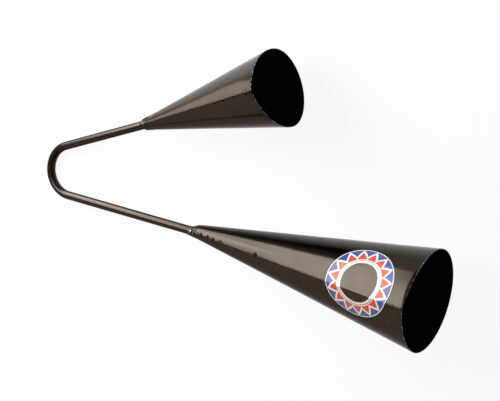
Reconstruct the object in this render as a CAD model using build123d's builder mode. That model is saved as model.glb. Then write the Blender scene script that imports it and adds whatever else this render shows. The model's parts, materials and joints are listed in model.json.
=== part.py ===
from build123d import *
import os
from dataclasses import dataclass
from math import atan2, cos, degrees, hypot, pi, radians, sin, sqrt

# Double agogo: two bells of rolled sheet steel, welded to the ends of one bent steel rod.
# It lies on a table with its seams up, on the bend of the rod and the lower edge of each mouth.

# Rod
rod_diameter = 8.0
bend_radius = 24.0  # to the middle of the rod
spread_angle = 24.3  # between the two arms
small_arm_length = 97.0  # straight run from the bend to the small bell
large_arm_length = 143.0  # straight run from the bend to the large bell
rod_seat_length = 12.0  # length of rod inside each neck

# Bells, with outside sizes at the mouth
sheet = 1.5
neck_clearance = 0.1  # between the rod and the inside of the neck
small_length = 147.0
small_back_radius = 35.0  # the round side, away from the seam
small_flank_radius = 57.5  # the two flatter sides that run up to the seam
small_ridge = 54.0  # from the middle of the rod up to the seam
large_length = 237.0
large_back_radius = 45.0
large_flank_radius = 64.0
large_ridge = 54.5
large_seam_turn = 2.5  # degrees that the large bell's seam leans toward the small bell

# Welds
seam_bead_radius = 1.2
seam_bead_sink = 0.8  # the bead's middle below the outside of the ridge
weld_on_rod = 6.0  # length of the neck weld on the rod
weld_on_bell = 6.0  # length of the neck weld on the bell
weld_crown = 0.4  # height of the neck weld at its middle
weld_toe = 0.2  # height of the neck weld at its two ends
weld_bands = 6

# Sticker on the large bell
sticker_diameter = 66.0
sticker_film = 0.25
sticker_from_mouth = 47.5  # its middle, along the bell's axis
sticker_off_ridge = 9.0  # its middle, round the flank on the small bell's side

# Cuts and settling
overrun = 1.0  # how far a cut runs past the face it opens
outline_depth = 25.0  # half the height of the sticker's cutter
settling_rounds = 30

rod_radius = rod_diameter / 2
neck_back_radius = rod_radius + neck_clearance + sheet


@dataclass
class Bell:
    """A cone about the rod's axis. In its neck plane, z runs to the mouth and x up to the seam."""

    neck: Plane
    length: float
    back: float
    flank: float
    ridge: float

    def back_at(self, distance):
        """Outside radius of the round side, at a distance from the neck."""
        return neck_back_radius + (self.back - neck_back_radius) * distance / self.length

    def share_at(self, distance):
        """Size of a section as a share of the mouth's, because all sections are alike."""
        return self.back_at(distance) / self.back

    def flank_centre(self):
        """Centre of a flank's arc at the mouth: up toward the seam, and across to the other side."""
        step = self.flank - self.back
        up = (self.ridge**2 + step**2 - self.flank**2) / (2 * self.ridge)
        return up, sqrt(step**2 - up**2)

    def ridge_angle(self):
        """Angle from the seam's direction to the flank's normal at the seam."""
        up, across = self.flank_centre()
        return atan2(across, self.ridge - up)

    def tangent_angle(self):
        """Angle from the seam's direction to where the flank runs into the round side."""
        up, across = self.flank_centre()
        return atan2(across, -up)

    def plane_at(self, distance):
        """Plane of a section."""
        return self.neck.offset(distance)

    def bead_middle(self, distance):
        """Middle of the seam's weld bead."""
        height = self.ridge * self.share_at(distance) - seam_bead_sink
        return self.neck.from_local_coords(Vector(height, 0, distance))

    def mouth_reach(self, direction):
        """Farthest point of the mouth's edge in a direction."""
        mouth = self.plane_at(self.length)
        rise = direction.dot(mouth.x_dir)
        side = direction.dot(mouth.y_dir)
        toward = 1 if side > 0 else -1
        angle = atan2(abs(side), rise)
        up, across = self.flank_centre()
        if angle >= self.tangent_angle():
            reach = (self.back * cos(angle), self.back * sin(angle))
        elif angle > self.ridge_angle():
            reach = (up + self.flank * cos(angle), self.flank * sin(angle) - across)
        else:
            reach = (self.ridge, 0.0)
        return mouth.from_local_coords(Vector(reach[0], toward * reach[1], 0))


def rod_point(radius, angle):
    """Point in the rod's plane, by its distance and angle from the bend's centre."""
    return Vector(radius * cos(radians(angle)), radius * sin(radians(angle)), 0)


# The rod's own frame: the bend's centre, x midway between the arms, y to the small bell, z to the seams
half_spread = spread_angle / 2
small_direction = rod_point(1, half_spread)
large_direction = rod_point(1, -half_spread)
small_tangent = rod_point(bend_radius, 90 + half_spread)
large_tangent = rod_point(bend_radius, -90 - half_spread)
seams_up = Vector(0, 0, 1)
large_seam = seams_up.rotate(Axis((0, 0, 0), large_direction), -large_seam_turn)


def bell_pair(frame):
    """The two bells, in the frame where the rod's own frame is placed."""
    small_neck = Plane(small_tangent + small_direction * small_arm_length, seams_up, small_direction)
    large_neck = Plane(large_tangent + large_direction * large_arm_length, large_seam, large_direction)
    small_place = Plane(frame.location * small_neck.location)
    large_place = Plane(frame.location * large_neck.location)
    return (
        Bell(small_place, small_length, small_back_radius, small_flank_radius, small_ridge),
        Bell(large_place, large_length, large_back_radius, large_flank_radius, large_ridge),
    )


def bend_reach(direction):
    """Farthest point of the rod's bend in a direction."""
    flat = Vector(direction.X, direction.Y, 0)
    return flat.normalized() * bend_radius + direction * rod_radius


# The table: a plane that touches the bend and the lower edge of both mouths
small_free, large_free = bell_pair(Plane.XY)
table_up = seams_up
for settling in range(settling_rounds):
    down = table_up * -1
    mouth_low = large_free.mouth_reach(down)
    small_low = small_free.mouth_reach(down)
    bend_low = bend_reach(down) if settling else rod_point(bend_radius, 180) + down * rod_radius
    table_up = (mouth_low - bend_low).cross(small_low - bend_low).normalized()

# The row's frame: on the table, below the middle of the whole object, x to the mouths
table_x = (Vector(1, 0, 0) - table_up * table_up.X).normalized()
table_y = table_up.cross(table_x)
front = max(bell.mouth_reach(table_x).dot(table_x) for bell in (small_free, large_free))
rear = bend_reach(table_x * -1).dot(table_x)
left = small_free.mouth_reach(table_y).dot(table_y)
right = large_free.mouth_reach(table_y * -1).dot(table_y)
row_origin = (
    table_x * ((front + rear) / 2) + table_y * ((left + right) / 2) + table_up * bend_low.dot(table_up)
)
rod_frame = Plane(Plane(row_origin, table_x, table_up).location.inverse())
small, large = bell_pair(rod_frame)


def bell_section(bell, distance, grow=0.0):
    """Outline of a bell at a distance from its neck, grown outward."""
    return arc_section(bell, distance, bell.back_at(distance) + grow, bell.share_at(distance))


def arc_section(bell, distance, back, share):
    """Face of three arcs: the round side and two flanks that meet at the seam. A share of 0 is a circle."""
    up, across = (share * size for size in bell.flank_centre())
    flank = back + hypot(up, across)
    tangent = degrees(bell.tangent_angle())
    start = degrees(atan2(across, sqrt(flank**2 - across**2)))
    with BuildSketch(bell.plane_at(distance)) as section:
        with BuildLine():
            CenterArc((up, -across), flank, start, tangent - start)
            CenterArc((0, 0), back, tangent, 360 - 2 * tangent)
            CenterArc((up, across), flank, -tangent, tangent - start)
        make_face()
    return section.sketch


def seam_bead(bell, grow=0.0):
    """Round bar of weld along the seam, from the neck's end to the mouth."""
    start, end = (bell.bead_middle(distance) for distance in (0, bell.length))
    along = (end - start).normalized()
    with BuildPart() as bead:
        with BuildSketch(Plane(start - along * overrun, z_dir=along)):
            Circle(seam_bead_radius + grow)
        extrude(amount=(end - start).length + 2 * overrun)
        split(bisect_by=bell.plane_at(0), keep=Keep.TOP)
        split(bisect_by=bell.plane_at(bell.length), keep=Keep.BOTTOM)
    return bead


def bell_ends(bell, grow=0.0):
    """A bell's section at its neck and at its mouth."""
    return [bell_section(bell, distance, grow) for distance in (0, bell.length)]


# Handle rod: one bar from inside the small neck, round the bend and into the large neck
with BuildPart() as handle_rod:
    with BuildLine(rod_frame) as rod_path:
        bend = CenterArc((0, 0), bend_radius, 90 + half_spread, 180 - spread_angle)
        PolarLine(bend @ 0, small_arm_length + rod_seat_length, half_spread)
        PolarLine(bend @ 1, large_arm_length + rod_seat_length, -half_spread)
    with BuildSketch(rod_path.line ^ 0):
        Circle(rod_radius)
    sweep()


def neck_weld(bell):
    """Collar of weld from the rod's surface up over the end of the bell."""
    run = weld_on_rod + weld_on_bell
    bands = []
    for band in range(weld_bands + 1):
        distance = run * band / weld_bands - weld_on_rod
        height = weld_toe + weld_crown * sin(pi * band / weld_bands)
        rise = min(1.0, 1 + distance / weld_on_rod)
        on_bell = max(0.0, distance)
        surface = rod_radius + (bell.back_at(on_bell) - rod_radius) * rise
        bands.append(arc_section(bell, distance, surface + height, bell.share_at(on_bell) * rise))
    with BuildPart() as weld:
        loft(bands, ruled=True)
        loft(bell_ends(bell), ruled=True, mode=Mode.SUBTRACT)
        add(handle_rod.part, mode=Mode.SUBTRACT)
    return weld


def seam_weld(bell, collar):
    """Bead of weld that fills the slit between the sheet's edges, from the neck to the mouth."""
    bead = seam_bead(bell)
    with BuildPart() as weld:
        add(bead.part)
        add(collar.part, mode=Mode.SUBTRACT)
    return weld


def rolled_bell(bell, seam):
    """Sheet rolled to a cone, open at the neck, the mouth and the seam."""
    inside = [bell_section(bell, end, -sheet) for end in (-overrun, bell.length + overrun)]
    with BuildPart() as shell:
        loft(bell_ends(bell), ruled=True)
        loft(inside, ruled=True, mode=Mode.SUBTRACT)
        add(seam.part, mode=Mode.SUBTRACT)
    return shell


small_neck_weld = neck_weld(small)
large_neck_weld = neck_weld(large)
small_bell_seam_weld = seam_weld(small, small_neck_weld)
large_bell_seam_weld = seam_weld(large, large_neck_weld)
small_bell = rolled_bell(small, small_bell_seam_weld)
large_bell = rolled_bell(large, large_bell_seam_weld)


def flank_plane(bell, distance, off_ridge, side):
    """Plane on a flank's outside, by its way round from the seam, with x along the sheet to the mouth."""
    share = bell.share_at(distance)
    up, across = (share * size for size in bell.flank_centre())
    flank = share * bell.flank
    angle = bell.ridge_angle() + off_ridge / flank
    point = Vector(up + flank * cos(angle), side * (flank * sin(angle) - across), 0)
    growth = (bell.share_at(bell.length) - bell.share_at(0)) / (bell.length * share)
    along = point * growth + Vector(0, 0, 1)
    tangent = Vector(-sin(angle), side * cos(angle), 0)
    outward = tangent.cross(along) * -side
    local = Plane(point + Vector(0, 0, distance), along, outward)
    return Plane(bell.neck.location * local.location)


# Sticker: a film over the large bell's flanks and bead, round when it lies flat, folded at the seam.
# The small bell is on the side of the large bell's negative y.
sticker_distance = large_length - sticker_from_mouth
sticker_radius = sticker_diameter / 2
near_plane = flank_plane(large, sticker_distance, sticker_off_ridge, -1)
seam_line = flank_plane(large, sticker_distance, 0, 1)
far_normal = flank_plane(large, sticker_distance, (sticker_radius - sticker_off_ridge) / 2, 1).z_dir
far_plane = Plane(seam_line.origin, seam_line.x_dir, far_normal)
seam_plane = Plane(large.neck.origin, large.neck.z_dir, large.neck.y_dir)

with BuildPart() as far_outline:
    with BuildSketch(far_plane):
        with Locations((0, -sticker_off_ridge)):
            Circle(sticker_radius)
    extrude(amount=outline_depth, both=True)
    split(bisect_by=seam_plane, keep=Keep.TOP)

with BuildPart() as sticker_outline:
    with BuildSketch(near_plane):
        Circle(sticker_radius)
    extrude(amount=outline_depth, both=True)
    split(bisect_by=seam_plane, keep=Keep.BOTTOM)
    add(far_outline.part)

bare_bead = seam_bead(large)
covered_bead = seam_bead(large, sticker_film)

with BuildPart() as sticker:
    loft(bell_ends(large, sticker_film), ruled=True)
    add(covered_bead.part)
    add(sticker_outline.part, mode=Mode.INTERSECT)
    loft(bell_ends(large), ruled=True, mode=Mode.SUBTRACT)
    add(bare_bead.part, mode=Mode.SUBTRACT)

os.makedirs("parts", exist_ok=True)

handle_rod.part.label = "handle_rod"
export_step(handle_rod.part, "parts/handle_rod.step")
small_bell.part.label = "small_bell"
export_step(small_bell.part, "parts/small_bell.step")
large_bell.part.label = "large_bell"
export_step(large_bell.part, "parts/large_bell.step")
small_bell_seam_weld.part.label = "small_bell_seam_weld"
export_step(small_bell_seam_weld.part, "parts/small_bell_seam_weld.step")
large_bell_seam_weld.part.label = "large_bell_seam_weld"
export_step(large_bell_seam_weld.part, "parts/large_bell_seam_weld.step")
small_neck_weld.part.label = "small_neck_weld"
export_step(small_neck_weld.part, "parts/small_neck_weld.step")
large_neck_weld.part.label = "large_neck_weld"
export_step(large_neck_weld.part, "parts/large_neck_weld.step")
sticker.part.label = "sticker"
export_step(sticker.part, "parts/sticker.step")
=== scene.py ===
import json
from math import asin, atan2, copysign, cos, exp, pi, radians, sin, sqrt

import bpy
from bpy.props import FloatProperty, FloatVectorProperty, IntProperty, PointerProperty
from bpy.types import NodeSocket, Operator, Panel, PropertyGroup
from mathutils import Matrix, Vector, noise


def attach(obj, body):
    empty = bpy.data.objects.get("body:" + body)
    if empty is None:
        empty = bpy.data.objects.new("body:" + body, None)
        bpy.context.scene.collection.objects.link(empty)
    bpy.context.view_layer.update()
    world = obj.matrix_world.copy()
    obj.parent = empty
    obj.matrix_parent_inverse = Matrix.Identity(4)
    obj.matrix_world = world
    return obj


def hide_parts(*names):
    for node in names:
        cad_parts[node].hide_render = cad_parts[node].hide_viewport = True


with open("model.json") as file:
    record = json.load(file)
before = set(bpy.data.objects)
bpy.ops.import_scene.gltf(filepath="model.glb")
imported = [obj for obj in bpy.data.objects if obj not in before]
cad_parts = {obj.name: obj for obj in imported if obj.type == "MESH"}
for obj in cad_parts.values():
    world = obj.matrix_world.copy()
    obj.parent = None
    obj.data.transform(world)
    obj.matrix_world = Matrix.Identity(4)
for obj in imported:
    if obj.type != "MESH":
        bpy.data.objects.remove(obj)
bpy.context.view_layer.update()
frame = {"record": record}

bl_info = {
    "name": "Double Agogo",
    "version": (1, 0, 0),
    "blender": (4, 5, 0),
    "location": "View3D > Sidebar > Agogo",
    "description": "Dresses two welded sheet bells on a bent rod, with their stage",
    "category": "Object",
}

BODY = "root"
BELLS = ("small", "large")
MOUNTS = {mount["name"]: mount for mount in frame["record"]["mounts"]}
MM = 0.001


# Settings that a user would change

def length(name, description, millimetres):
    """A length property, given in millimetres and kept in metres."""
    return FloatProperty(
        name=name, description=description, default=millimetres * MM, precision=5, unit="LENGTH"
    )


def colour(name, description, value):
    """A colour property, in linear light."""
    return FloatVectorProperty(
        name=name, description=description, default=value, size=3, min=0.0, max=1.0, subtype="COLOR"
    )


def xyz(name, description, value, unit="LENGTH"):
    """A property for a place, or for a direction if it has no unit."""
    return FloatVectorProperty(
        name=name, description=description, default=value, size=3, precision=4, subtype="XYZ", unit=unit
    )


def level(name, description, value):
    """A brightness property."""
    return FloatProperty(name=name, description=description, default=value, min=0.0)


class AgogoSizes(PropertyGroup):
    """Sizes of the pieces that the frame's mounts don't give."""

    sheet: length("Sheet", "Thickness of the rolled sheet", 1.5)
    small_flank: length("Small flank", "Radius of the small bell's flanks at the mouth", 57.5)
    small_ridge: length("Small ridge", "Height of the small bell's seam over the rod's axis", 54.0)
    large_flank: length("Large flank", "Radius of the large bell's flanks at the mouth", 64.0)
    large_ridge: length("Large ridge", "Height of the large bell's seam over the rod's axis", 54.5)
    neck_clearance: length("Neck clearance", "Room between the rod and the inside of a neck", 0.1)
    rim_round: length("Rim round", "Rounding of the cut edge at the mouth", 0.4)
    sheet_wave: length("Sheet wave", "Depth of the slight waves left by rolling", 0.16)
    rod_seat: length("Rod seat", "Length of rod inside each neck", 12.0)
    bead_radius: length("Bead radius", "Radius of the seam's weld bead", 1.2)
    bead_sink: length("Bead sink", "Depth of the bead's middle below the ridge", 0.8)
    ripple_pitch: length("Ripple pitch", "Length of one ripple of weld", 2.1)
    ripple_height: length("Ripple height", "Height of one ripple of weld", 0.12)
    weld_on_rod: length("Weld on rod", "Length of a neck weld on the rod", 6.0)
    weld_on_bell: length("Weld on bell", "Length of a neck weld on the bell", 6.0)
    weld_crown: length("Weld crown", "Height of a neck weld at its middle", 0.4)
    weld_toe: length("Weld toe", "Height of a neck weld at its ends", 0.2)
    weld_lump: length("Weld lump", "Height of the lumps on a neck weld", 1.5)
    sticker_diameter: length("Sticker diameter", "Diameter of the round sticker, laid flat", 66.0)
    sticker_film: length("Sticker film", "Thickness of the sticker", 0.25)
    sticker_from_mouth: length("Sticker from mouth", "Sticker's middle, along the axis", 47.5)
    sticker_off_ridge: length("Sticker off ridge", "Sticker's middle, round the flank", 9.0)


class AgogoColours(PropertyGroup):
    """Colours of the finishes."""

    paint: colour("Paint", "Brown-black paint of the bells", (0.030, 0.0245, 0.0195))
    paint_light: colour("Light paint", "Where the paint is thinner", (0.036, 0.0300, 0.0245))
    # The inside's near-black without shine is partly the bells' black paint and partly painted shade of the
    # hollow
    inside: colour("Inside", "Matt black inside the bells", (0.0010, 0.0008, 0.0008))
    edge: colour("Edge", "Steel that shows through at rubbed edges", (0.42, 0.40, 0.38))
    weld: colour("Weld", "Paint over the welds", (0.036, 0.0300, 0.0245))
    rod: colour("Rod paint", "Dark brown of the rod", (0.034, 0.0265, 0.0215))
    rod_light: colour("Light rod paint", "Where the rod's paint is thinner", (0.040, 0.0325, 0.0270))
    glint: colour("Glint", "Tint of what the sticker's film reflects", (1.0, 0.85, 0.72))
    slant: colour("Slant", "Tint of what the paint reflects at a slant", (0.41, 0.36, 0.31))
    warm: colour("Warm fill", "Colour of the dim panel's light", (1.0, 0.80, 0.63))
    film: colour("Film", "White of the sticker", (0.80, 0.79, 0.76))
    red: colour("Red", "Red of the sticker", (0.70, 0.070, 0.025))
    blue: colour("Blue", "Blue of the sticker", (0.045, 0.090, 0.33))
    floor: colour("Floor", "White of the lit floor", (0.95, 0.95, 0.95))


class AgogoStudio(PropertyGroup):
    """Camera, lights and the seed of the welds."""

    lens: FloatProperty(
        name="Lens", description="Focal length", default=110.47, subtype="DISTANCE_CAMERA"
    )
    place: xyz("Camera place", "Where the camera stands", (0.5874, 0.1081, 1.2468))
    aim: xyz("Camera aim", "Point at the middle of the picture", (0.0084, -0.0071, 0.0))
    top: xyz("Picture top", "Direction on the floor that is up in the picture", (0.0255, 1.0, 0.0), "NONE")
    panel_light: level("Softbox", "Brightness of the leaning softbox", 9.5)
    side_light: level("Side light", "Brightness of the panel beside it", 6.2)
    fill_light: level("Fill light", "Brightness of the dim panel", 1.05)
    sky: level("Sky", "Brightness of the room", 0.06)
    seed: IntProperty(name="Seed", description="Seed of the weld's lumps", default=7, min=0)


def sizes():
    """The scene's sizes."""
    return bpy.context.scene.agogo_sizes


def colours():
    """The scene's colours."""
    return bpy.context.scene.agogo_colours


def studio():
    """The scene's camera and lights."""
    return bpy.context.scene.agogo_studio


# Forms worked out from the frame

# The large neck sits to the side of its arm, the arm leans after it, and the neck's end is drawn in
NECK_SWAY = {"small": 0.0, "large": -0.0015}
ROD_SWAY = {"small": 0.0, "large": -0.0005}
NECK_PINCH = {"small": 0.0, "large": 0.20}
PINCH_LENGTH = 0.0065

# Waves of the sheet: round dents and long folds, calm at the neck and full from halfway
WAVE_SIZE = 0.034
FOLD_LENGTH = 0.210
FOLD_WIDTH = 0.013
WAVE_MIX = 0.5
CALM_SHARE = 0.5


def held(value):
    """A value held between 0 and 1."""
    return min(1.0, max(0.0, value))


def eased(value):
    """A value held between 0 and 1, with soft ends."""
    share = held(value)
    return share * (share * (3 - 2 * share))


def spaced(count, start, end):
    """Even steps from a start to an end."""
    return [start + (end - start) * i / count for i in range(count + 1)]


class BellForm:
    """A bell about its arm's axis: a round side, and two flanks that meet at the seam."""

    flank_steps = 22
    back_steps = 30

    def __init__(self, name):
        rim, clamp = MOUNTS[f"{name}_bell_rim"], MOUNTS[f"{name}_arm_clamp"]
        size = sizes()
        self.name = name
        self.axis = Vector(rim["axis"]).normalized()
        self.rod_radius = clamp["dims"]["r_mm"] * MM
        half_arm = clamp["dims"]["length_mm"] * MM / 2
        self.bend_end = Vector(clamp["pos_m"]) - self.axis * half_arm
        self.neck = Vector(clamp["pos_m"]) + self.axis * (half_arm + size.weld_on_rod)
        rim_place = Vector(rim["pos_m"])
        self.length = (rim_place - self.neck).dot(self.axis)
        to_seam = self.neck + self.axis * self.length - rim_place
        self.seam = to_seam.normalized()
        self.side = self.axis.cross(self.seam)
        self.back = to_seam.length + size.sheet / 2
        self.neck_back = self.rod_radius + size.neck_clearance + size.sheet
        self.flank = getattr(size, f"{name}_flank")
        self.ridge = getattr(size, f"{name}_ridge")
        # Each flank's arc is centred off the axis, by up and across, and meets the round side at the tangent
        self.step = self.flank - self.back
        self.up = (self.ridge**2 + self.step**2 - self.flank**2) / (2 * self.ridge)
        self.across = sqrt(self.step**2 - self.up**2)
        self.tangent = atan2(self.across, -self.up)
        self.rod_end = self.neck + self.side * ROD_SWAY[name]

    def past_end(self, distance):
        """How far a place lies past the drawn-in end of the neck, from 0 to 1."""
        return held(distance / PINCH_LENGTH)

    def back_at(self, distance):
        """Outside radius of the round side, at a distance from the neck."""
        cone = self.neck_back + (self.back - self.neck_back) * distance / self.length
        return cone * (1 - NECK_PINCH[self.name] * (1 - self.past_end(distance)))

    def share_at(self, distance):
        """Size of a section as a share of the mouth's."""
        return self.back_at(distance) / self.back

    def sway(self, distance):
        """How far the bell's middle lies to the side of its arm's straight line."""
        on_bell = NECK_SWAY[self.name] * (1 - distance / self.length)
        return ROD_SWAY[self.name] + (on_bell - ROD_SWAY[self.name]) * self.past_end(distance)

    def place(self, distance, rise, aside):
        """A point by its distance from the neck, its rise to the seam and its way to the side."""
        on_axis = self.neck + self.axis * distance
        return on_axis + self.seam * rise + self.side * (aside + self.sway(distance))

    def turns(self, share, back):
        """Directions of the outside's normals round one half of a section, from the seam."""
        start = asin(share * self.across / (back + share * self.step))
        flank = spaced(self.flank_steps, start, self.tangent)[:-1]
        return flank + spaced(self.back_steps, self.tangent, pi)

    def spot(self, turn, share, back):
        """Rise and way to the side of a section's point, by the direction of its normal."""
        if turn >= self.tangent:
            return back * cos(turn), back * sin(turn)
        flank = back + share * self.step
        return share * self.up + flank * cos(turn), max(0.0, flank * sin(turn) - share * self.across)

    def outline(self, distance, back, share):
        """Points round a section with their outward directions, from the seam to the seam."""
        half = []
        for turn in self.turns(share, back):
            rise, aside = self.spot(turn, share, back)
            # The first point lies on the ridge and faces the way of the seam
            half.append((rise, aside, turn if half else 0.0))
        both = half + [(rise, -aside, -turn) for rise, aside, turn in half[-2:0:-1]]
        outward = [self.seam * cos(turn) + self.side * sin(turn) for _, _, turn in both]
        return [(self.place(distance, rise, aside), out) for (rise, aside, _), out in zip(both, outward)]

    def sheet_ring(self, distance, grow):
        """A ring of the sheet, grown outward, with the waves of the rolling."""
        ring = self.outline(distance, self.back_at(distance) + grow, self.share_at(distance))
        return [point - outward * self.wave(point) for point, outward in ring]

    def wave(self, point):
        """How far the sheet lies inside its true form at a point."""
        along = (point - self.neck).dot(self.axis)
        across = point - self.neck - self.axis * along
        dents = noise.noise(point / WAVE_SIZE)
        folds = noise.noise(Vector((along / FOLD_LENGTH, across.dot(self.side) / FOLD_WIDTH, self.length)))
        depth = 1 + WAVE_MIX * dents + WAVE_MIX * folds
        return sizes().sheet_wave * depth * min(1.0, along / (CALM_SHARE * self.length))

    def seam_point(self, distance):
        """Middle of the seam's weld bead."""
        return self.place(distance, self.ridge * self.share_at(distance) - sizes().bead_sink, 0.0)


# Meshes and objects

def new_mesh(name, points, faces):
    """A smooth mesh from its points and faces."""
    mesh = bpy.data.meshes.new(name)
    mesh.from_pydata([tuple(point) for point in points], [], faces)
    mesh.validate()
    mesh.update()
    mesh.shade_smooth()
    return mesh


def ring_mesh(name, rings):
    """A closed skin through rings of points, joined ring to ring and last to first."""
    count = len(rings[0])
    faces = []
    for row in range(len(rings)):
        base = row * count
        after = (row + 1) % len(rings) * count
        for i in range(count):
            j = (i + 1) % count
            faces.append((base + i, base + j, after + j, after + i))
    return new_mesh(name, [point for ring in rings for point in ring], faces)


def point_values(mesh, name, values):
    """Stores a number at each point of a mesh."""
    mesh.attributes.new(name, "FLOAT", "POINT").data.foreach_set("value", values)


def add_object(name, data):
    """A new object at the origin, in the scene."""
    thing = bpy.data.objects.new(name, data)
    bpy.context.scene.collection.objects.link(thing)
    return thing


def add_piece(name, mesh, *materials):
    """An object that holds a finished mesh, with the materials that the mesh still needs."""
    for material in materials:
        mesh.materials.append(material)
    return add_object(name, mesh)


def stand_for(piece, node):
    """Puts a piece in a node's place, on the whole object's body."""
    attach(piece, BODY)
    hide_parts(node)


# Node trees

VALUE = "NodeSocketFloat"
VECTOR = "NodeSocketVector"
COLOUR = "NodeSocketColor"
GEOMETRY = "NodeSocketGeometry"
MATERIAL = "NodeSocketMaterial"
NOISE_MIDDLE = 0.5


def feed(tree, socket, value):
    """Gives a node's input a link, a colour or a plain value."""
    if isinstance(value, NodeSocket):
        tree.links.new(value, socket)
    elif socket.type == "RGBA":
        socket.default_value = (*value, 1.0)
    else:
        socket.default_value = value


def add_node(tree, kind, inputs=None, **settings):
    """Adds a node, with its settings and its inputs as values or links."""
    node = tree.nodes.new(kind)
    for name, value in settings.items():
        setattr(node, name, value)
    for key, value in (inputs or {}).items():
        feed(tree, node.inputs[key], value)
    return node


def calc(tree, operation, *values, clamp=False):
    """Output of a Math node."""
    inputs = dict(enumerate(values))
    return add_node(tree, "ShaderNodeMath", inputs, operation=operation, use_clamp=clamp).outputs[0]


def ramp(tree, value, low, high):
    """A value stretched to 0 at low and 1 at high, and held there, with soft ends."""
    inputs = {"Value": value, "From Min": low, "From Max": high}
    return add_node(tree, "ShaderNodeMapRange", inputs, interpolation_type="SMOOTHSTEP").outputs["Result"]


def mix_colour(tree, share, first, second):
    """Mix of two colours."""
    return add_node(tree, "ShaderNodeMix", {0: share, 6: first, 7: second}, data_type="RGBA").outputs[2]


def mix_value(tree, share, first, second):
    """Mix of two numbers."""
    return add_node(tree, "ShaderNodeMix", {0: share, 2: first, 3: second}, data_type="FLOAT").outputs[0]


def noise_at(tree, vector, scale, detail=2.0, roughness=0.5):
    """Value of a Noise Texture."""
    inputs = {"Vector": vector, "Scale": scale, "Detail": detail, "Roughness": roughness}
    return add_node(tree, "ShaderNodeTexNoise", inputs).outputs["Fac"]


def read_attribute(tree, name):
    """A number that the mesh stores at its points, or 0 where it has none."""
    return add_node(tree, "ShaderNodeAttribute", attribute_name=name).outputs["Fac"]


def new_group(name, kind, inputs, outputs):
    """A node group with named sockets: its tree, its input node's outputs and its output node's inputs."""
    tree = bpy.data.node_groups.new(name, kind)
    for label, socket, default in inputs:
        item = tree.interface.new_socket(label, in_out="INPUT", socket_type=socket)
        if default is not None:
            item.default_value = default
    for label, socket in outputs:
        tree.interface.new_socket(label, in_out="OUTPUT", socket_type=socket)
    given = tree.nodes.new("NodeGroupInput").outputs
    result = tree.nodes.new("NodeGroupOutput").inputs
    return tree, given, result


def place_group(tree, group, inputs):
    """Outputs of a group's node in a material."""
    return add_node(tree, "ShaderNodeGroup", inputs, node_tree=group).outputs


# Finishes

BLACK = (0.0, 0.0, 0.0)

# The paint reflects as metal does, less so on the far side, whose painted sheen lets its slanted edges show
# light
PAINT_SHINE = 0.3
PAINT_METAL = 0.75
FAR_SHEEN = 0.75

# Clouds and specks of the paint, and where it turns thin
CLOUD_DETAIL = 5.0
CLOUD_ROUGHNESS = 0.62
SPECK_SHARE = 0.5
THIN_FROM = 0.30
THIN_TO = 0.75
UNEVEN_GLOSS = 0.08

# Grain of the rubbed edges, and where the steel is bare
GRAIN_DETAIL = 4.0
GRAIN_ROUGHNESS = 0.65
BARE_FROM = 0.45
BARE_TO = 0.75

# Roughness of each finish, how well its paint holds against wear, and the depth of its peel
BELL_ROUGHNESS = 0.15
ROD_ROUGHNESS = 0.22
WELD_ROUGHNESS = 0.24
FILM_ROUGHNESS = 0.16
INSIDE_ROUGHNESS = 0.95
BELL_HOLD = 0.62
ROD_HOLD = 0.85
WELD_HOLD = 0.55
SMOOTH_PEEL = 0.000002
WELD_PEEL = 0.00014

# Dust inside the bells
DUST_SCALE = 120.0
DUST_DETAIL = 4.0
DUST_LIGHT = 2


def paint_coat_group():
    """Sprayed paint: cloudy colour, uneven gloss and a fine orange peel."""
    name = "Paint Coat"
    if name in bpy.data.node_groups:
        return bpy.data.node_groups[name]
    tree, given, result = new_group(
        name, "ShaderNodeTree",
        [("Vector", VECTOR, None), ("Colour", COLOUR, None), ("Thin Colour", COLOUR, None),
         ("Cloud Scale", VALUE, 60.0), ("Peel Scale", VALUE, 900.0), ("Roughness", VALUE, 0.36)],
        [("Colour", COLOUR), ("Roughness", VALUE), ("Height", VALUE)],
    )
    clouds = noise_at(tree, given["Vector"], given["Cloud Scale"], CLOUD_DETAIL, CLOUD_ROUGHNESS)
    specks = noise_at(tree, given["Vector"], given["Peel Scale"])
    lowered = calc(tree, "SUBTRACT", clouds, SPECK_SHARE * NOISE_MIDDLE)
    thin = ramp(tree, calc(tree, "MULTIPLY_ADD", specks, SPECK_SHARE, lowered), THIN_FROM, THIN_TO)
    uneven = calc(tree, "MULTIPLY", calc(tree, "SUBTRACT", clouds, NOISE_MIDDLE), UNEVEN_GLOSS)
    feed(tree, result["Colour"], mix_colour(tree, thin, given["Colour"], given["Thin Colour"]))
    feed(tree, result["Roughness"], calc(tree, "ADD", given["Roughness"], uneven, clamp=True))
    feed(tree, result["Height"], specks)
    return tree


def edge_wear_group():
    """Rubbed edges: a mask of bare steel where the wear is high, broken up by grain."""
    name = "Edge Wear"
    if name in bpy.data.node_groups:
        return bpy.data.node_groups[name]
    tree, given, result = new_group(
        name, "ShaderNodeTree",
        [("Vector", VECTOR, None), ("Wear", VALUE, 0.0), ("Grain Scale", VALUE, 400.0), ("Hold", VALUE, 0.6)],
        [("Bare", VALUE)],
    )
    grain = noise_at(tree, given["Vector"], given["Grain Scale"], GRAIN_DETAIL, GRAIN_ROUGHNESS)
    rubbed = calc(tree, "SUBTRACT", calc(tree, "ADD", given["Wear"], grain), given["Hold"])
    feed(tree, result["Bare"], ramp(tree, rubbed, BARE_FROM, BARE_TO))
    return tree


def new_material(name, specular, tint):
    """A material with its tree, Principled shader and Object coordinates."""
    material = bpy.data.materials.new(name)
    material.use_nodes = True
    tree = material.node_tree
    shader = tree.nodes["Principled BSDF"]
    feed(tree, shader.inputs["Specular IOR Level"], specular)
    feed(tree, shader.inputs["Specular Tint"], tint)
    vector = add_node(tree, "ShaderNodeTexCoord").outputs["Object"]
    return material, tree, shader, vector


def link_bump(tree, shader, height, depth):
    """Feeds a height through a Bump node to a shader's normal."""
    bump = add_node(tree, "ShaderNodeBump", {"Height": height, "Distance": depth, "Strength": 1.0})
    feed(tree, shader.inputs["Normal"], bump.outputs["Normal"])


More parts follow.
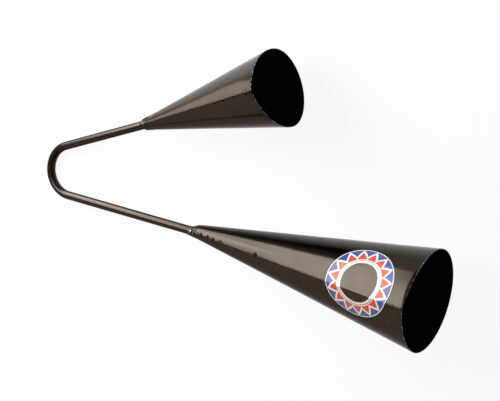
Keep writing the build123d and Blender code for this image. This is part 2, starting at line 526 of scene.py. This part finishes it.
def painted_steel(name, paint, thin, roughness, hold, peel):
    """Paint over steel: bare by the mesh's wear, darkened by its painted shade and less metallic by its
    painted sheen.
    """
    tone = colours()
    material, tree, shader, vector = new_material(name, PAINT_SHINE, tone.slant)
    coat = place_group(tree, paint_coat_group(), {
        "Vector": vector, "Colour": paint, "Thin Colour": thin, "Roughness": roughness,
    })
    bare = place_group(tree, edge_wear_group(), {
        "Vector": vector, "Wear": read_attribute(tree, "wear"), "Hold": hold,
    })["Bare"]
    # Painted shade: the coat goes toward black where the mesh's value is high, standing in for a dark
    # reflection
    painted_dark = mix_colour(tree, read_attribute(tree, "painted_shade"), coat["Colour"], BLACK)
    # Painted sheen: the coat is less metallic where the mesh asks, so the far side's edges show more light
    lost = calc(tree, "MULTIPLY", read_attribute(tree, "painted_sheen"), PAINT_METAL * FAR_SHEEN)
    metal = calc(tree, "SUBTRACT", PAINT_METAL, lost)
    feed(tree, shader.inputs["Base Color"], mix_colour(tree, bare, painted_dark, tone.edge))
    feed(tree, shader.inputs["Metallic"], calc(tree, "MAXIMUM", bare, metal))
    feed(tree, shader.inputs["Roughness"], coat["Roughness"])
    link_bump(tree, shader, coat["Height"], peel)
    return material


def bell_paint():
    """Satin paint of the bells' outsides."""
    name = "bell satin"
    if name in bpy.data.materials:
        return bpy.data.materials[name]
    tone = colours()
    return painted_steel(name, tone.paint, tone.paint_light, BELL_ROUGHNESS, BELL_HOLD, SMOOTH_PEEL)


def bell_inside():
    """Matt near-black of the bells' insides: their black paint, and painted shade of the hollow."""
    name = "bell inside"
    if name in bpy.data.materials:
        return bpy.data.materials[name]
    tone = colours()
    material, tree, shader, vector = new_material(name, 0.0, tone.glint)
    dust = noise_at(tree, vector, DUST_SCALE, DUST_DETAIL)
    dusty = [DUST_LIGHT * part for part in tone.inside]
    feed(tree, shader.inputs["Base Color"], mix_colour(tree, dust, tone.inside, dusty))
    feed(tree, shader.inputs["Roughness"], INSIDE_ROUGHNESS)
    return material


def rod_paint():
    """The rod's paint, a little rougher than the bells'."""
    tone = colours()
    return painted_steel("rod satin", tone.rod, tone.rod_light, ROD_ROUGHNESS, ROD_HOLD, SMOOTH_PEEL)


def weld_paint():
    """Thin paint over lumpy weld metal, with bright points where it is rubbed."""
    name = "weld satin"
    if name in bpy.data.materials:
        return bpy.data.materials[name]
    tone = colours()
    return painted_steel(name, tone.weld, tone.paint_light, WELD_ROUGHNESS, WELD_HOLD, WELD_PEEL)


# Bells

OUTER_ROWS = 80
INNER_ROWS = 24
RIM_STEPS = 3

# Wear of the rim and of the ridge, its reach from the rim, and how far the rim's inner corner is spared
RIM_WEAR = 0.70
RIDGE_WEAR = 0.35
WEAR_REACH = 0.0009
INNER_CORNER = 0.6

# The far side, toward +Y: a painted sheen from a turn off the seam on, and fading out at the underside
FAR_FROM = {"small": radians(36), "large": radians(60)}
FAR_FADE = radians(9)
FAR_END = radians(30)

# Painted shade: a dark line for a dark reflection and a shade by the neck, ends as shares of the bell's
# length
PAINTED_LINE_SHADE = {"small": 0.0, "large": 0.92}
LINE_TURN = radians(55)
LINE_REACH = radians(6)
LINE_END = 0.92
LINE_FADE = 0.20
PAINTED_NECK_SHADE = {"small": 0.0, "large": 0.28}
SHADE_END = 0.48
SHADE_FADE = 0.25


def sheet_path(form):
    """The sheet's path from the neck over the rim and back inside: distance, growth and share inside."""
    size = sizes()
    edge = size.rim_round
    run = form.length - edge
    corner = spaced(RIM_STEPS, 0.0, pi / 2)
    path = [(row, 0.0, 0.0) for row in spaced(OUTER_ROWS, 0.0, run)]
    path += [(run + edge * sin(turn), edge * (cos(turn) - 1), 0.0) for turn in corner[1:]]
    for turn in corner[:-1]:
        path.append((run + edge * cos(turn), edge * (1 - sin(turn)) - size.sheet, INNER_CORNER))
    path += [(row, -size.sheet, 1.0) for row in spaced(INNER_ROWS, 0.0, run)[::-1]]
    return path


def painted_sheen_at(name, turn):
    """How much painted sheen the far side's coat gets, by its turn off the seam."""
    return min(held((turn - FAR_FROM[name]) / FAR_FADE), (pi - turn) / FAR_END)


def painted_shade_at(form, distance, turn):
    """Painted shade on the far side: a line for a dark reflection that ends before the mouth, and a shade by
    the neck.
    """
    way = distance / form.length
    line = exp(-((turn - LINE_TURN) / LINE_REACH) ** 2) * held((LINE_END - way) / LINE_FADE)
    shade = held((SHADE_END - way) / SHADE_FADE)
    return max(PAINTED_LINE_SHADE[form.name] * line, PAINTED_NECK_SHADE[form.name] * shade)


def sharpen_ridge(mesh, count):
    """Marks the fold at the seam as a sharp edge."""
    for edge in mesh.edges:
        first, second = edge.vertices
        edge.use_edge_sharp = first % count == 0 and second % count == 0


def build_bell(name):
    """One bell: a shell with its outside, rounded rim, inside and neck end."""
    form = BellForm(name)
    path = sheet_path(form)
    rings = [form.sheet_ring(distance, grow) for distance, grow, _ in path]
    count = len(rings[0])
    wear, painted_sheen, painted_shade = [], [], []
    for distance, grow, inside in path:
        at_rim = RIM_WEAR * exp(-((form.length - distance) / WEAR_REACH) ** 2) * (1.0 - inside)
        wear += [max(at_rim, RIDGE_WEAR)] + [at_rim] * (count - 1)
        half = form.turns(form.share_at(distance), form.back_at(distance) + grow)
        near, far = [0.0] * len(half), half[-2:0:-1]
        # Only the far half gets the painted sheen and the painted shade; the near half stays plain
        painted_sheen += near + [painted_sheen_at(name, turn) for turn in far]
        painted_shade += near + [painted_shade_at(form, distance, turn) for turn in far]
    mesh = ring_mesh(f"{name}_bell_sheet", rings)
    point_values(mesh, "wear", wear)
    point_values(mesh, "painted_sheen", painted_sheen)
    point_values(mesh, "painted_shade", painted_shade)
    sharpen_ridge(mesh, count)
    piece = add_piece(f"{name}_bell_sheet", mesh, bell_paint(), bell_inside())
    first_inner = (OUTER_ROWS + RIM_STEPS) * count
    for face in mesh.polygons:
        face.material_index = int(face.index >= first_inner)
    stand_for(piece, f"{name}_bell")


# Rod

BAR_SIDES = 40
BAR_UNEVEN = 0.00004
BAR_GRAIN = 90.0
END_ROUND = 0.0006
END_SHARE = 0.93
ARM_STEPS = 24
BEND_STEPS = 64


def curve_object(name, points):
    """A curve object with one poly spline through points, each with its size."""
    curve = bpy.data.curves.new(name, "CURVE")
    curve.dimensions = "3D"
    spline = curve.splines.new("POLY")
    spline.points.add(len(points) - 1)
    for target, (point, share) in zip(spline.points, points):
        target.co = (*point, 1.0)
        target.radius = share
    return add_object(name, curve)


def run_tree(path, group, values):
    """Runs a geometry node group on a curve object and gives the result as a plain mesh."""
    modifier = path.modifiers.new("nodes", "NODES")
    modifier.node_group = group
    for item in group.interface.items_tree:
        if item.in_out == "INPUT" and item.name in values:
            modifier[item.identifier] = values[item.name]
    evaluated = path.evaluated_get(bpy.context.evaluated_depsgraph_get())
    mesh = bpy.data.meshes.new_from_object(evaluated)
    curve = path.data
    path.modifiers.remove(modifier)
    bpy.data.objects.remove(path)
    bpy.data.curves.remove(curve)
    return mesh


def sweep(tree, curve, radius, sides):
    """A round section along a curve, scaled by the sizes of the curve's points."""
    section = add_node(tree, "GeometryNodeCurvePrimitiveCircle", {"Resolution": sides, "Radius": radius})
    size = add_node(tree, "GeometryNodeInputRadius").outputs[0]
    return add_node(tree, "GeometryNodeCurveToMesh", {
        "Curve": curve, "Profile Curve": section.outputs[0], "Scale": size, "Fill Caps": True,
    }).outputs[0]


def finish_tree(tree, surface, height, material, result):
    """Ends a geometry tree: the surface raised by a height, smooth, with one material and no instances."""
    normal = add_node(tree, "GeometryNodeInputNormal").outputs[0]
    offset = add_node(tree, "ShaderNodeVectorMath", {0: normal, "Scale": height}, operation="SCALE")
    moved = add_node(tree, "GeometryNodeSetPosition", {"Geometry": surface, "Offset": offset.outputs[0]})
    smooth = add_node(tree, "GeometryNodeSetShadeSmooth", {"Geometry": moved.outputs[0]})
    real = add_node(tree, "GeometryNodeRealizeInstances", {"Geometry": smooth.outputs[0]})
    dressed = add_node(tree, "GeometryNodeSetMaterial", {"Geometry": real.outputs[0], "Material": material})
    feed(tree, result["Geometry"], dressed.outputs[0])


def bar_tree():
    """Round bar along a path, with the faint unevenness of drawn steel, which only goes inward."""
    tree, given, result = new_group(
        "Round Bar", "GeometryNodeTree",
        [("Geometry", GEOMETRY, None), ("Radius", VALUE, 0.004), ("Unevenness", VALUE, BAR_UNEVEN),
         ("Grain", VALUE, BAR_GRAIN), ("Material", MATERIAL, None)],
        [("Geometry", GEOMETRY)],
    )
    bar = sweep(tree, given["Geometry"], given["Radius"], BAR_SIDES)
    place = add_node(tree, "GeometryNodeInputPosition").outputs[0]
    inward = calc(tree, "SUBTRACT", noise_at(tree, place, given["Grain"]), 1.0)
    shift = calc(tree, "MULTIPLY", inward, given["Unevenness"])
    finish_tree(tree, bar, shift, given["Material"], result)
    return tree


def rod_path(small, large):
    """Middle line of the rod: from inside the small neck, round the bend and into the large neck."""
    seat = sizes().rod_seat
    plane_up = large.axis.cross(small.axis).normalized()
    first, last = plane_up.cross(small.axis), large.axis.cross(plane_up)
    radius = (small.bend_end - large.bend_end).length / (first - last).length
    centre = small.bend_end - first * radius
    swing = first.angle(last)
    points = [(small.neck + small.axis * seat, END_SHARE)]
    points.append((small.neck + small.axis * (seat - END_ROUND), 1.0))
    for i in range(1, ARM_STEPS):
        points.append((small.neck.lerp(small.bend_end, i / ARM_STEPS), 1.0))
    for turn in spaced(BEND_STEPS, 0.0, swing):
        points.append((centre + Matrix.Rotation(turn, 3, plane_up) @ first * radius, 1.0))
    for i in range(1, ARM_STEPS):
        points.append((large.bend_end.lerp(large.rod_end, i / ARM_STEPS), 1.0))
    points.append((large.rod_end + large.axis * (seat - END_ROUND), 1.0))
    points.append((large.rod_end + large.axis * seat, END_SHARE))
    return points


def build_rod():
    """The handle rod, from its path."""
    small, large = BellForm("small"), BellForm("large")
    mesh = run_tree(curve_object("rod_line", rod_path(small, large)), bar_tree(), {
        "Radius": small.rod_radius, "Unevenness": BAR_UNEVEN, "Grain": BAR_GRAIN, "Material": rod_paint(),
    })
    stand_for(add_piece("bent_rod", mesh), "handle_rod")


# Seam welds

BEAD_SIDES = 18
BEAD_STEP = 0.0004
BEAD_BASE = 0.74
BEAD_START = 0.4
BEAD_END = 0.35
SEAM_STOPS = 300
RIPPLE_NOISE = 160.0
RIPPLE_SHIFT = 2.0
LUMP_SCALE = 420.0
LUMP_DETAIL = 3.0
LUMP_HEIGHT = 0.00055

# Tacks along each seam: place from the neck, or back from the mouth if negative, reach and height
TACKS = {
    "small": (
        (0.0060, 0.0030, 0.40), (-0.0470, 0.0014, 0.60), (-0.0365, 0.0014, 0.65),
        (-0.0220, 0.0015, 0.60), (-0.0070, 0.0019, 1.00), (-0.0025, 0.0016, 0.75),
    ),
    "large": (
        (0.0080, 0.0030, 0.40), (0.0140, 0.0017, 1.00), (0.0225, 0.0015, 0.90),
        (0.0290, 0.0015, 0.85), (0.0380, 0.0014, 0.70), (0.0735, 0.0016, 0.25),
        (0.0790, 0.0019, 1.05), (-0.0100, 0.0016, 0.25), (-0.0020, 0.0025, 0.30),
    ),
}


def bead_tree():
    """Weld bead along a path: ripples and lumps on a bar whose size follows the path's points."""
    tree, given, result = new_group(
        "Weld Bead", "GeometryNodeTree",
        [("Geometry", GEOMETRY, None), ("Bead Radius", VALUE, 0.0015), ("Ripple Pitch", VALUE, 0.002),
         ("Ripple Height", VALUE, 0.0002), ("Lump Scale", VALUE, LUMP_SCALE),
         ("Lump Height", VALUE, LUMP_HEIGHT), ("Seed", VALUE, 0.0), ("Material", MATERIAL, None)],
        [("Geometry", GEOMETRY)],
    )
    fine = add_node(tree, "GeometryNodeResampleCurve", {
        "Curve": given["Geometry"], "Length": BEAD_STEP,
    }, mode="LENGTH")
    way = add_node(tree, "GeometryNodeSplineParameter").outputs["Length"]
    named = add_node(tree, "GeometryNodeStoreNamedAttribute", {
        "Geometry": fine.outputs[0], "Name": "way", "Value": way,
    }, data_type="FLOAT", domain="POINT")
    bead = sweep(tree, named.outputs[0], given["Bead Radius"], BEAD_SIDES)
    along = add_node(tree, "GeometryNodeInputNamedAttribute", {"Name": "way"}, data_type="FLOAT").outputs[0]
    place = add_node(tree, "GeometryNodeInputPosition").outputs[0]
    shifted = add_node(tree, "ShaderNodeVectorMath", {0: place, 1: given["Seed"]}, operation="ADD").outputs[0]
    uneven = calc(tree, "MULTIPLY", noise_at(tree, shifted, RIPPLE_NOISE), RIPPLE_SHIFT)
    phase = calc(tree, "ADD", calc(tree, "DIVIDE", along, given["Ripple Pitch"]), uneven)
    ripple = calc(tree, "ABSOLUTE", calc(tree, "SINE", calc(tree, "MULTIPLY", phase, pi)))
    lumps = calc(tree, "SUBTRACT", noise_at(tree, shifted, given["Lump Scale"], LUMP_DETAIL), NOISE_MIDDLE)
    height = calc(
        tree, "ADD",
        calc(tree, "MULTIPLY", ripple, given["Ripple Height"]),
        calc(tree, "MULTIPLY", lumps, given["Lump Height"]),
    )
    finish_tree(tree, bead, height, given["Material"], result)
    return tree


def bead_share(form, distance):
    """Size of the seam's bead at a distance from the neck: low, with a lump at each tack."""
    lump = 0
    for place, reach, height in TACKS[form.name]:
        from_neck = place if place > 0 else form.length + place
        lump += height * exp(-((distance - from_neck) / reach) ** 2)
    return BEAD_BASE + lump


def build_seam_weld(name, tree):
    """The bead that joins a bell's two edges, from the neck weld to the mouth."""
    form = BellForm(name)
    size = sizes()
    start = size.weld_on_bell * BEAD_START
    end = form.length - size.bead_radius * BEAD_END
    points = [(form.seam_point(stop), bead_share(form, stop)) for stop in spaced(SEAM_STOPS, start, end)]
    mesh = run_tree(curve_object(f"{name}_seam_line", points), tree, {
        "Bead Radius": size.bead_radius, "Seed": float(studio().seed), "Material": weld_paint(),
        "Ripple Pitch": size.ripple_pitch, "Ripple Height": size.ripple_height,
        "Lump Scale": LUMP_SCALE, "Lump Height": LUMP_HEIGHT,
    })
    stand_for(add_piece(f"{name}_seam_bead", mesh), f"{name}_bell_seam_weld")


# Neck welds

COLLAR_ROWS = 60

# The weld climbs from the rod to the bell over the lip, which is longer on the bells' outer side
NECK_LIP = 0.0040
LIP_SHIFT = 0.0019

# Sizes and shares of the lumps and pits
COARSE_SIZE = 0.0022
MIDDLE_SIZE = 0.0012
PIT_SIZE = 0.0009
COARSE_SHARE = 0.50
MIDDLE_SHARE = 0.45
PIT_SHARE = 0.45
PIT_MEAN = 0.35

# Shares of the crown and of the lumps that are left below, how far the lumps spread, and their wear
LOW_CROWN = 0.25
LOW_LUMPS = 0.12
LUMP_SPREAD = 0.8
COLLAR_WEAR = 0.20
LUMP_WEAR = 1.45

# The collar's bore, as shares of the rod's radius and of the bell's section
BORE_ROD = 0.9
BORE_SECTION = 0.5


def lump_at(point):
    """Height of a neck weld's lumps, from about -1 to 1."""
    seed = studio().seed
    coarse = noise.noise(point / COARSE_SIZE + Vector((seed, 0.0, 0.0)))
    middle = noise.noise(point / MIDDLE_SIZE + Vector((0.0, seed, 0.0)))
    pits = abs(noise.noise(point / PIT_SIZE + Vector((0.0, 0.0, seed))))
    return COARSE_SHARE * coarse + MIDDLE_SHARE * middle + PIT_SHARE * (PIT_MEAN - pits)


def collar_ring(form, distance):
    """One ring of a neck weld and its wear, at a distance from the neck's end, negative on the rod."""
    size = sizes()
    hump = exp(-((distance / NECK_LIP) ** 2))
    on_bell = max(0.0, distance)
    on_rod = form.axis * min(0.0, distance)
    low = form.outline(min(distance, 0.0), form.rod_radius + size.weld_toe / 2, 0.0)
    high = form.outline(on_bell, form.back_at(on_bell) + size.weld_toe / 2, form.share_at(on_bell))
    ring, wear = [], []
    for (rod_point, _), (bell_point, outward) in zip(low, high):
        outer = outward.y * copysign(1.0, form.axis.y)
        rise = eased(1 + distance / (NECK_LIP + LIP_SHIFT * outer))
        on_top = max(0.0, outward.dot(form.seam))
        crown = hump * (LOW_CROWN + (1 - LOW_CROWN) * on_top)
        lumpy = LOW_LUMPS + (1 - LOW_LUMPS) * on_top
        lump = lump_at(bell_point + on_rod) * lumpy * max(hump, LUMP_SPREAD * on_top * rise)
        point = rod_point.lerp(bell_point + on_rod, rise)
        ring.append(point + outward * (crown * size.weld_crown + lump * size.weld_lump))
        wear.append(COLLAR_WEAR + LUMP_WEAR * max(0.0, lump))
    return ring, wear


def build_neck_weld(name):
    """The lumpy collar of weld from the rod up over the end of the neck."""
    form = BellForm(name)
    size = sizes()
    rings, wear = [], []
    for distance in spaced(COLLAR_ROWS, -size.weld_on_rod, size.weld_on_bell):
        ring, worn = collar_ring(form, distance)
        rings.append(ring)
        wear += worn
    for distance in (size.weld_on_bell, -size.weld_on_rod):
        share = form.share_at(distance) if distance > 0 else 0.0
        bore = form.outline(distance, form.rod_radius * BORE_ROD, share * BORE_SECTION)
        rings.append([point for point, _ in bore])
        wear += [0.0] * len(bore)
    mesh = ring_mesh(f"{name}_neck_collar", rings)
    point_values(mesh, "wear", wear)
    stand_for(add_piece(f"{name}_neck_collar", mesh, weld_paint()), f"{name}_neck_weld")


# Sticker

FILM_ROWS = 60
FILM_TURNS = 180
FILM_GAP = 0.00004
FOLD_REACH = 0.0021
BEAD_COVER = 0.00035
MAP_MIDDLE = 0.5

# The print, in shares of the sticker's radius
FILM_EDGE = 1.0
PRINT_EDGE = 0.008
ZIGZAG_TEETH = 15
ZIGZAG_LOW = 0.70
ZIGZAG_HIGH = 0.93
ZIGZAG_LINE = 0.045
RING_INNER = 0.655
RING_OUTER = 0.975
CLEAR_EDGE = 0.622
RIM_OUTER = 0.606
RIM_INNER = 0.545


def film_point(form, along, across, lift):
    """A point of the film, by its way along the sheet and across from the sticker's middle line."""
    size = sizes()
    apex = -form.neck_back * form.length / (form.back - form.neck_back)
    middle = form.length - size.sticker_from_mouth
    slope = (form.back - form.neck_back) / form.length * form.ridge / form.back
    distance = middle + along / sqrt(1 + slope * slope)
    way = size.sticker_off_ridge * (distance - apex) / (middle - apex) + across
    share = form.share_at(distance)
    back = form.back_at(distance)
    flank = back + share * form.step
    start = asin(share * form.across / flank)
    turn = start + abs(way) / flank
    rise, aside = form.spot(turn, share, back)
    toward = -1 if way > 0 else 1
    point = form.place(distance, rise, toward * aside)
    outward = form.seam * cos(turn) + form.side * (toward * sin(turn))
    fold = exp(-((way / FOLD_REACH) ** 2))
    outward = outward.lerp(form.seam, fold).normalized()
    bump = (size.bead_radius * BEAD_BASE - size.bead_sink + BEAD_COVER) * fold
    return point + outward * (lift + bump - form.wave(point))


def film_faces():
    """Faces of the film: rings out over the top, round the cut edge and back below, and both middles."""
    faces = []
    last = (2 * FILM_ROWS - 1) * FILM_TURNS
    top = last + FILM_TURNS
    bottom = top + 1
    for i in range(FILM_TURNS):
        j = (i + 1) % FILM_TURNS
        for base in range(0, last, FILM_TURNS):
            after = base + FILM_TURNS
            faces.append((base + i, after + i, after + j, base + j))
        faces.append((top, i, j))
        faces.append((bottom, last + j, last + i))
    return faces


def sharpen_film(mesh):
    """Marks the film's cut edge as sharp on both faces."""
    edge_rings = {FILM_ROWS - 1, FILM_ROWS}
    for edge in mesh.edges:
        rows = {vertex // FILM_TURNS for vertex in edge.vertices}
        edge.use_edge_sharp = len(rows) == 1 and rows <= edge_rings


def build_sticker():
    """The round film on the large bell, folded over the seam, with its own flat map."""
    form = BellForm("large")
    size = sizes()
    radius = size.sticker_diameter / 2
    rows = [radius * i / FILM_ROWS for i in range(1, FILM_ROWS + 1)]
    turns = [2 * pi * i / FILM_TURNS for i in range(FILM_TURNS)]
    flat = [[(row * cos(turn), row * sin(turn)) for turn in turns] for row in rows]
    layers = [(ring, size.sticker_film) for ring in flat]
    layers += [(ring, FILM_GAP) for ring in flat[::-1]]
    layers += [([(0.0, 0.0)], lift) for lift in (size.sticker_film, FILM_GAP)]
    points, spots = [], []
    for ring, lift in layers:
        points += [film_point(form, along, across, lift) for along, across in ring]
        spots += ring
    mesh = new_mesh("round_sticker", points, film_faces())
    sharpen_film(mesh)
    layer = mesh.uv_layers.new(name="print")
    for loop in mesh.loops:
        along, across = spots[loop.vertex_index]
        layer.data[loop.index].uv = (MAP_MIDDLE + along / (2 * radius), MAP_MIDDLE + across / (2 * radius))
    stand_for(add_piece("round_sticker", mesh, sticker_print()), "sticker")


def band(tree, value, low, high):
    """1 where a value lies between two limits, with edges as sharp as print."""
    above = ramp(tree, value, low - PRINT_EDGE, low + PRINT_EDGE)
    return calc(tree, "MULTIPLY", above, ramp(tree, value, high + PRINT_EDGE, high - PRINT_EDGE))


def sticker_print():
    """Print of the sticker: a zigzag ring of red and blue on white, round a clear middle with a white rim."""
    tone = colours()
    material, tree, shader, vector = new_material("sticker film", PAINT_SHINE, tone.glint)
    flat = add_node(tree, "ShaderNodeUVMap", uv_map="print").outputs[0]
    middle = (MAP_MIDDLE, MAP_MIDDLE, 0.0)
    centred = add_node(tree, "ShaderNodeVectorMath", {0: flat, 1: middle}, operation="SUBTRACT").outputs[0]
    parts = add_node(tree, "ShaderNodeSeparateXYZ", {0: centred}).outputs
    half = add_node(tree, "ShaderNodeVectorMath", {0: centred}, operation="LENGTH").outputs["Value"]
    reach = calc(tree, "DIVIDE", half, MAP_MIDDLE)
    turn = calc(tree, "ARCTAN2", parts["Y"], parts["X"])
    tooth = calc(tree, "PINGPONG", calc(tree, "MULTIPLY", turn, ZIGZAG_TEETH / pi), 1.0)
    outside = calc(tree, "SUBTRACT", reach, mix_value(tree, tooth, ZIGZAG_LOW, ZIGZAG_HIGH))
    inner_teeth = band(tree, outside, -FILM_EDGE, -ZIGZAG_LINE)
    outer_teeth = band(tree, outside, ZIGZAG_LINE, FILM_EDGE)
    red = calc(tree, "MULTIPLY", inner_teeth, band(tree, reach, RING_INNER, FILM_EDGE))
    blue = calc(tree, "MULTIPLY", outer_teeth, band(tree, reach, 0.0, RING_OUTER))
    printed = mix_colour(tree, blue, mix_colour(tree, red, tone.film, tone.red), tone.blue)
    rim = band(tree, reach, RIM_INNER, RIM_OUTER)
    clear = calc(tree, "SUBTRACT", band(tree, reach, -FILM_EDGE, CLEAR_EDGE), rim)
    coat = place_group(tree, paint_coat_group(), {
        "Vector": vector, "Colour": tone.paint, "Thin Colour": tone.paint_light, "Roughness": FILM_ROUGHNESS,
    })
    feed(tree, shader.inputs["Base Color"], mix_colour(tree, clear, printed, coat["Colour"]))
    feed(tree, shader.inputs["Metallic"], calc(tree, "MULTIPLY", clear, PAINT_METAL))
    feed(tree, shader.inputs["Roughness"], coat["Roughness"])
    link_bump(tree, shader, coat["Height"], SMOOTH_PEEL)
    return material


# Stage

SENSOR_WIDTH_MM = 36.0
FLOOR_RADIUS = 4.0
FLOOR_SIDES = 96
FLOOR_GLOW = 0.92
CONTACT_REACH = 0.05
CONTACT_DARK = 0.05
CONTACT_LIGHT = 0.30
WHITE = (1.0, 1.0, 1.0)

# Soft lights round the object's middle, with their width and height, and the softbox's lean
SOFTBOX = {
    "azimuth": radians(136.5), "distance": 0.857, "height": 0.522, "extent": (0.50, 1.50),
    "lean": radians(-28.6),
}
SIDE_PANEL = {
    "azimuth": radians(146), "distance": 0.34, "height": 0.115, "extent": (0.15, 0.22), "aim_height": 0.115,
}
FILL_PANEL = {"azimuth": radians(218), "distance": 1.15, "height": 0.40, "extent": (0.90, 0.76)}


def floor_material():
    """White floor with a soft shade by the object, the same to the camera and in reflections."""
    tone = colours()
    material = bpy.data.materials.new("studio_floor")
    material.use_nodes = True
    tree = material.node_tree
    tree.nodes.clear()
    plain = add_node(tree, "ShaderNodeBsdfDiffuse", {"Color": tone.floor})
    open_sky = add_node(tree, "ShaderNodeAmbientOcclusion", {"Distance": CONTACT_REACH}).outputs["AO"]
    lit = calc(tree, "DIVIDE", ramp(tree, open_sky, CONTACT_DARK, CONTACT_LIGHT), tone.floor[0])
    shown = add_node(tree, "ShaderNodeEmission", {"Color": tone.floor, "Strength": lit})
    path = add_node(tree, "ShaderNodeLightPath").outputs
    seen = calc(tree, "MAXIMUM", path["Is Camera Ray"], path["Is Glossy Ray"])
    seen = calc(tree, "MAXIMUM", seen, path["Is Transmission Ray"])
    share = calc(tree, "MULTIPLY", seen, FLOOR_GLOW)
    mixed = add_node(tree, "ShaderNodeMixShader", {0: share, 1: plain.outputs[0], 2: shown.outputs[0]})
    add_node(tree, "ShaderNodeOutputMaterial", {"Surface": mixed.outputs[0]}, is_active_output=True)
    return material


def build_floor():
    """A flat disc at the height that the object lies on."""
    turns = [2 * pi * i / FLOOR_SIDES for i in range(FLOOR_SIDES)]
    ring = [(FLOOR_RADIUS * cos(turn), FLOOR_RADIUS * sin(turn), 0.0) for turn in turns]
    mesh = new_mesh("floor", ring, [tuple(range(FLOOR_SIDES))])
    add_piece("floor", mesh, floor_material())


def panel(name, brightness, azimuth, distance, height, extent, aim_height=0.0, lean=0.0, tint=WHITE):
    """A soft light by its direction, distance and height, that faces a point over the object's middle."""
    light = bpy.data.lights.new(name, "AREA")
    light.shape = "RECTANGLE"
    light.size, light.size_y = extent
    light.energy = brightness * pi * extent[0] * extent[1]
    light.color = tint
    lamp = add_object(name, light)
    lamp.location = (distance * cos(azimuth), distance * sin(azimuth), height)
    toward = Vector((0.0, 0.0, aim_height)) - lamp.location
    facing = toward.to_track_quat("-Z", "Y").to_matrix()
    lamp.rotation_euler = (facing @ Matrix.Rotation(lean, 3, "Z")).to_euler()
    lamp.visible_camera = False


def build_lights():
    """The softbox, the panel beside it and the dim warm one."""
    shot = studio()
    panel("softbox", shot.panel_light, **SOFTBOX)
    panel("side_panel", shot.side_light, **SIDE_PANEL)
    panel("fill_panel", shot.fill_light, **FILL_PANEL, tint=colours().warm)


def build_world():
    """A dim room."""
    world = bpy.data.worlds.new("room")
    world.use_nodes = True
    background = world.node_tree.nodes["Background"]
    feed(world.node_tree, background.inputs["Color"], WHITE)
    feed(world.node_tree, background.inputs["Strength"], studio().sky)
    bpy.context.scene.world = world


def build_camera():
    """The camera, from its place, its aim and the picture's top."""
    shot = studio()
    data = bpy.data.cameras.new("camera")
    data.lens = shot.lens
    data.sensor_width = SENSOR_WIDTH_MM
    data.sensor_fit = "HORIZONTAL"
    camera = add_object("camera", data)
    place = Vector(shot.place)
    forward = (Vector(shot.aim) - place).normalized()
    right = forward.cross(Vector(shot.top)).normalized()
    up = right.cross(forward)
    turn = Matrix((right, up, -forward)).transposed().to_4x4()
    camera.matrix_world = Matrix.Translation(place) @ turn
    bpy.context.scene.camera = camera


# Operators

class AGOGO_OT_bells(Operator):
    """Builds both bells of rolled sheet"""

    bl_idname = "agogo.bells"
    bl_label = "Bells"

    def execute(self, context):
        for name in BELLS:
            build_bell(name)
        return {"FINISHED"}


class AGOGO_OT_rod(Operator):
    """Builds the bent handle rod"""

    bl_idname = "agogo.rod"
    bl_label = "Handle Rod"

    def execute(self, context):
        build_rod()
        return {"FINISHED"}


class AGOGO_OT_seam_welds(Operator):
    """Builds the weld beads along the seams"""

    bl_idname = "agogo.seam_welds"
    bl_label = "Seam Welds"

    def execute(self, context):
        tree = bead_tree()
        for name in BELLS:
            build_seam_weld(name, tree)
        return {"FINISHED"}


class AGOGO_OT_neck_welds(Operator):
    """Builds the lumpy welds at the necks"""

    bl_idname = "agogo.neck_welds"
    bl_label = "Neck Welds"

    def execute(self, context):
        for name in BELLS:
            build_neck_weld(name)
        return {"FINISHED"}


class AGOGO_OT_sticker(Operator):
    """Builds the round sticker on the large bell"""

    bl_idname = "agogo.sticker"
    bl_label = "Sticker"

    def execute(self, context):
        build_sticker()
        return {"FINISHED"}


class AGOGO_OT_stage(Operator):
    """Builds the floor, the lights, the room and the camera"""

    bl_idname = "agogo.stage"
    bl_label = "Stage"

    def execute(self, context):
        build_floor()
        build_lights()
        build_world()
        build_camera()
        context.scene.view_settings.view_transform = "Standard"
        return {"FINISHED"}


STEPS = (
    AGOGO_OT_bells, AGOGO_OT_rod, AGOGO_OT_seam_welds, AGOGO_OT_neck_welds, AGOGO_OT_sticker, AGOGO_OT_stage,
)


class AGOGO_PT_sidebar(Panel):
    """Lists the steps and their settings"""

    bl_idname = "AGOGO_PT_sidebar"
    bl_label = "Double Agogo"
    bl_space_type = "VIEW_3D"
    bl_region_type = "UI"
    bl_category = "Agogo"

    def draw(self, context):
        column = self.layout.column()
        for step in STEPS:
            column.operator(step.bl_idname)
        for group in (sizes(), colours(), studio()):
            box = self.layout.box()
            for name in group.bl_rna.properties.keys():
                if name not in ("rna_type", "name"):
                    box.prop(group, name)


CLASSES = (AgogoSizes, AgogoColours, AgogoStudio, *STEPS, AGOGO_PT_sidebar)


def register():
    """Registers the settings, the operators and the sidebar."""
    for cls in CLASSES:
        bpy.utils.register_class(cls)
    bpy.types.Scene.agogo_sizes = PointerProperty(type=AgogoSizes)
    bpy.types.Scene.agogo_colours = PointerProperty(type=AgogoColours)
    bpy.types.Scene.agogo_studio = PointerProperty(type=AgogoStudio)


def unregister():
    """Removes what register adds."""
    del bpy.types.Scene.agogo_studio
    del bpy.types.Scene.agogo_colours
    del bpy.types.Scene.agogo_sizes
    for cls in reversed(CLASSES):
        bpy.utils.unregister_class(cls)


def main():
    """Builds every piece and the stage."""
    register()
    bpy.ops.agogo.bells()
    bpy.ops.agogo.rod()
    bpy.ops.agogo.seam_welds()
    bpy.ops.agogo.neck_welds()
    bpy.ops.agogo.sticker()
    bpy.ops.agogo.stage()


if __name__ == "__main__":
    main()
